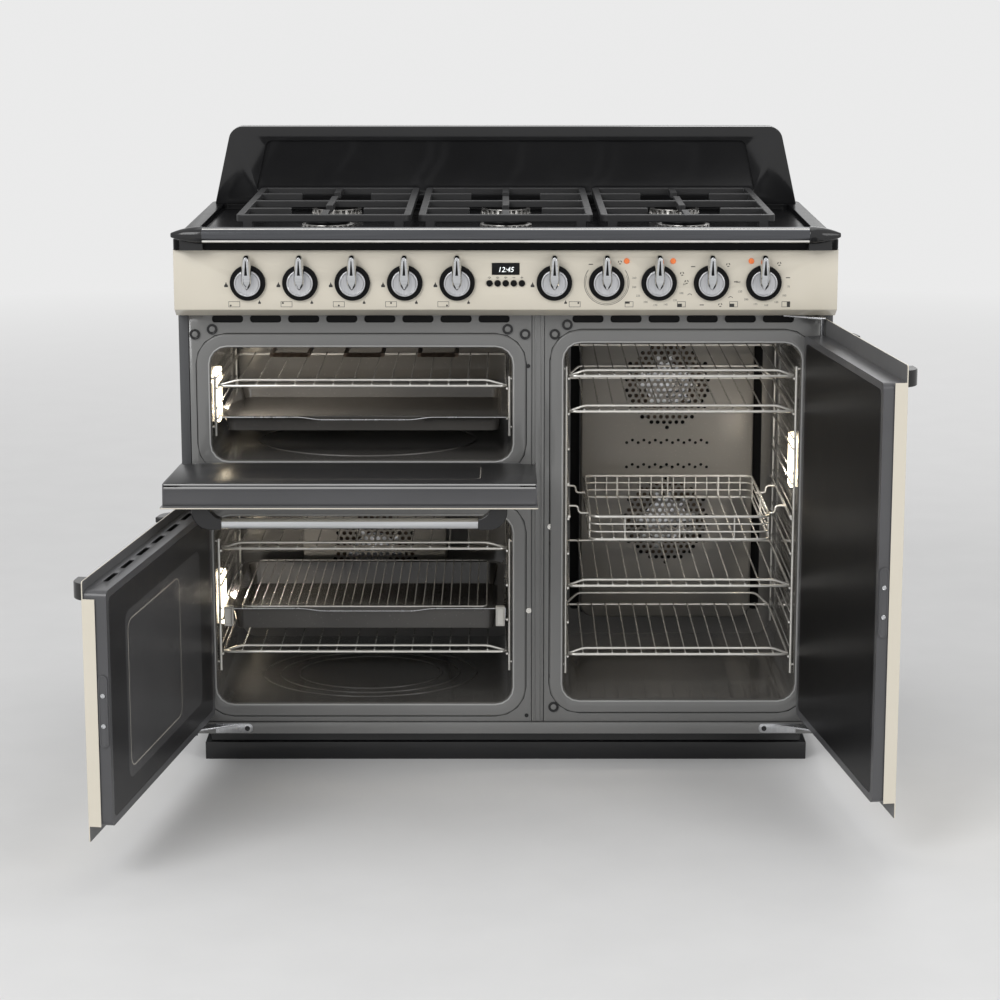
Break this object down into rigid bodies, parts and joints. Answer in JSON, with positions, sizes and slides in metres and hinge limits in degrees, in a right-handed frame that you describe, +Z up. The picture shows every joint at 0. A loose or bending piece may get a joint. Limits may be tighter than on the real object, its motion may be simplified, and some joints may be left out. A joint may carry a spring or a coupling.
{
  "type": "range cooker",
  "caption": "Free-standing range cooker with a gas hob, a drop-down grill oven over a main oven, a tall side oven, sliding shelves and a row of knobs.",
  "frame": {"origin": "on the floor, under the middle of the casing", "axes": "+X to the viewer's right, +Y towards the wall, +Z up"},
  "size_m": [1.2787, 1.1653, 1.063],
  "materials": {
    "cream_paint": "gloss",
    "casing_grey": "satin",
    "frame_grey": "satin",
    "cavity_enamel": "gloss",
    "black_enamel": "gloss",
    "black_satin": "satin",
    "galvanised": "satin",
    "chrome": "polished",
    "bright_steel": "satin",
    "cast_iron": "matt",
    "burner_alloy": "satin",
    "brass_fitting": "satin",
    "door_liner": "satin",
    "lens": "gloss",
    "heater_tube": "matt",
    "button_black": "satin",
    "foot_black": "matt"
  },
  "bodies": {
    "carcass": {"side_panels": "casing_grey", "back_panel": "galvanised", "base_tray": "galvanised", "plinth": "black_satin", "feet": "foot_black", "front_frame": "frame_grey", "worktop": "black_enamel", "upstand": "black_enamel", "front_rail": "chrome", "burner_bases": "burner_alloy", "burner_caps": "black_satin", "pan_supports": "cast_iron", "control_panel": "cream_paint", "panel_lenses": "lens", "gas_and_controls": "brass_fitting", "shelf_ladders": "chrome", "fan_housings": "cavity_enamel", "heating_elements": "heater_tube", "oven_lamps": "lens", "hinge_hardware": "bright_steel", "grill_cavity": "cavity_enamel", "main_cavity": "cavity_enamel", "tall_cavity": "cavity_enamel"},
    "grill_door": {"grill_door_skin": "cream_paint", "grill_door_liner": "door_liner", "grill_door_handle": "chrome"},
    "main_door": {"main_door_skin": "cream_paint", "main_door_liner": "door_liner", "main_door_handle": "chrome"},
    "tall_door": {"tall_door_skin": "cream_paint", "tall_door_liner": "door_liner", "tall_door_handle": "chrome"},
    "tall_rack_1": {"tall_rack_1": "chrome"},
    "tall_rack_2": {"tall_rack_2": "chrome"},
    "tall_rack_3": {"tall_rack_3": "chrome"},
    "tall_rack_4": {"tall_rack_4": "chrome"},
    "tall_basket": {"tall_basket": "chrome"},
    "main_rack_low": {"main_rack_low": "chrome"},
    "main_rack_high": {"main_rack_high": "chrome"},
    "main_tray": {"main_tray": "black_enamel"},
    "grill_rack": {"grill_rack": "chrome"},
    "grill_tray": {"grill_tray": "black_enamel"},
    "gas_knob_1": {"gas_knob_1": "chrome"},
    "gas_knob_2": {"gas_knob_2": "chrome"},
    "gas_knob_3": {"gas_knob_3": "chrome"},
    "gas_knob_4": {"gas_knob_4": "chrome"},
    "gas_knob_5": {"gas_knob_5": "chrome"},
    "gas_knob_6": {"gas_knob_6": "chrome"},
    "oven_knob_7": {"oven_knob_7": "chrome"},
    "oven_knob_8": {"oven_knob_8": "chrome"},
    "oven_knob_9": {"oven_knob_9": "chrome"},
    "oven_knob_10": {"oven_knob_10": "chrome"},
    "clock_button_1": {"clock_button_1": "button_black"},
    "clock_button_2": {"clock_button_2": "button_black"},
    "clock_button_3": {"clock_button_3": "button_black"},
    "clock_button_4": {"clock_button_4": "button_black"},
    "clock_button_5": {"clock_button_5": "button_black"},
    "main_fan": {"main_fan": "bright_steel"},
    "tall_fan_lower": {"tall_fan_lower": "bright_steel"},
    "tall_fan_upper": {"tall_fan_upper": "bright_steel"}
  },
  "joints": [
    {"name": "tall_door_hinge", "type": "hinge", "parent": "carcass", "child": "tall_door", "pos_m": [0.528, -0.291, 0.43], "axis": [0, 0, 1], "range_deg": [-98, 7]},
    {"name": "main_door_hinge", "type": "hinge", "parent": "carcass", "child": "main_door", "pos_m": [-0.528, -0.291, 0.27], "axis": [0, 0, -1], "range_deg": [-99, 6]},
    {"name": "grill_door_hinge", "type": "hinge", "parent": "carcass", "child": "grill_door", "pos_m": [-0.248, -0.292, 0.51], "axis": [1, 0, 0], "range_deg": [-86, 0]},
    {"name": "tall_rack_1_slide", "type": "slide", "parent": "carcass", "child": "tall_rack_1", "axis": [0, -1, 0], "range_m": [0, 0.3]},
    {"name": "tall_rack_2_slide", "type": "slide", "parent": "carcass", "child": "tall_rack_2", "axis": [0, -1, 0], "range_m": [0, 0.3]},
    {"name": "tall_rack_3_slide", "type": "slide", "parent": "carcass", "child": "tall_rack_3", "axis": [0, -1, 0], "range_m": [0, 0.3]},
    {"name": "tall_rack_4_slide", "type": "slide", "parent": "carcass", "child": "tall_rack_4", "axis": [0, -1, 0], "range_m": [0, 0.3]},
    {"name": "tall_basket_slide", "type": "slide", "parent": "carcass", "child": "tall_basket", "axis": [0, -1, 0], "range_m": [0, 0.3]},
    {"name": "main_rack_low_slide", "type": "slide", "parent": "carcass", "child": "main_rack_low", "axis": [0, -1, 0], "range_m": [0, 0.3]},
    {"name": "main_rack_high_slide", "type": "slide", "parent": "carcass", "child": "main_rack_high", "axis": [0, -1, 0], "range_m": [0, 0.3]},
    {"name": "main_tray_slide", "type": "slide", "parent": "carcass", "child": "main_tray", "axis": [0, -1, 0], "range_m": [0, 0.3]},
    {"name": "grill_rack_slide", "type": "slide", "parent": "carcass", "child": "grill_rack", "axis": [0, -1, 0], "range_m": [0, 0.3]},
    {"name": "grill_tray_slide", "type": "slide", "parent": "carcass", "child": "grill_tray", "axis": [0, -1, 0], "range_m": [0, 0.3]},
    {"name": "gas_knob_1_turn", "type": "hinge", "parent": "carcass", "child": "gas_knob_1", "pos_m": [-0.4273, -0.31, 0.848], "axis": [0, -1, 0], "range_deg": [0, 210]},
    {"name": "gas_knob_2_turn", "type": "hinge", "parent": "carcass", "child": "gas_knob_2", "pos_m": [-0.3406, -0.31, 0.848], "axis": [0, -1, 0], "range_deg": [0, 210]},
    {"name": "gas_knob_3_turn", "type": "hinge", "parent": "carcass", "child": "gas_knob_3", "pos_m": [-0.2539, -0.31, 0.848], "axis": [0, -1, 0], "range_deg": [0, 210]},
    {"name": "gas_knob_4_turn", "type": "hinge", "parent": "carcass", "child": "gas_knob_4", "pos_m": [-0.1672, -0.31, 0.848], "axis": [0, -1, 0], "range_deg": [0, 210]},
    {"name": "gas_knob_5_turn", "type": "hinge", "parent": "carcass", "child": "gas_knob_5", "pos_m": [-0.0805, -0.31, 0.848], "axis": [0, -1, 0], "range_deg": [0, 210]},
    {"name": "gas_knob_6_turn", "type": "hinge", "parent": "carcass", "child": "gas_knob_6", "pos_m": [0.0805, -0.31, 0.848], "axis": [0, -1, 0], "range_deg": [0, 210]},
    {"name": "oven_knob_7_turn", "type": "hinge", "parent": "carcass", "child": "oven_knob_7", "pos_m": [0.1672, -0.31, 0.848], "axis": [0, 1, 0], "range_deg": [0, 300]},
    {"name": "oven_knob_8_turn", "type": "hinge", "parent": "carcass", "child": "oven_knob_8", "pos_m": [0.2539, -0.31, 0.848], "axis": [0, 1, 0], "range_deg": [0, 240]},
    {"name": "oven_knob_9_turn", "type": "hinge", "parent": "carcass", "child": "oven_knob_9", "pos_m": [0.3406, -0.31, 0.848], "axis": [0, 1, 0], "continuous": true},
    {"name": "oven_knob_10_turn", "type": "hinge", "parent": "carcass", "child": "oven_knob_10", "pos_m": [0.4273, -0.31, 0.848], "axis": [0, 1, 0], "range_deg": [0, 240]},
    {"name": "clock_button_1_press", "type": "slide", "parent": "carcass", "child": "clock_button_1", "axis": [0, 1, 0], "range_m": [0, 0.001], "stiffness_N_per_m": 300, "springref_m": -0.0005},
    {"name": "clock_button_2_press", "type": "slide", "parent": "carcass", "child": "clock_button_2", "axis": [0, 1, 0], "range_m": [0, 0.001], "stiffness_N_per_m": 300, "springref_m": -0.0005},
    {"name": "clock_button_3_press", "type": "slide", "parent": "carcass", "child": "clock_button_3", "axis": [0, 1, 0], "range_m": [0, 0.001], "stiffness_N_per_m": 300, "springref_m": -0.0005},
    {"name": "clock_button_4_press", "type": "slide", "parent": "carcass", "child": "clock_button_4", "axis": [0, 1, 0], "range_m": [0, 0.001], "stiffness_N_per_m": 300, "springref_m": -0.0005},
    {"name": "clock_button_5_press", "type": "slide", "parent": "carcass", "child": "clock_button_5", "axis": [0, 1, 0], "range_m": [0, 0.001], "stiffness_N_per_m": 300, "springref_m": -0.0005},
    {"name": "main_fan_spin", "type": "hinge", "parent": "carcass", "child": "main_fan", "pos_m": [-0.2435, 0.18, 0.278], "axis": [0, 1, 0], "continuous": true},
    {"name": "tall_fan_lower_spin", "type": "hinge", "parent": "carcass", "child": "tall_fan_lower", "pos_m": [0.29825, 0.18, 0.342], "axis": [0, 1, 0], "continuous": true},
    {"name": "tall_fan_upper_spin", "type": "hinge", "parent": "carcass", "child": "tall_fan_upper", "pos_m": [0.29825, 0.18, 0.598], "axis": [0, 1, 0], "continuous": true}
  ]
}
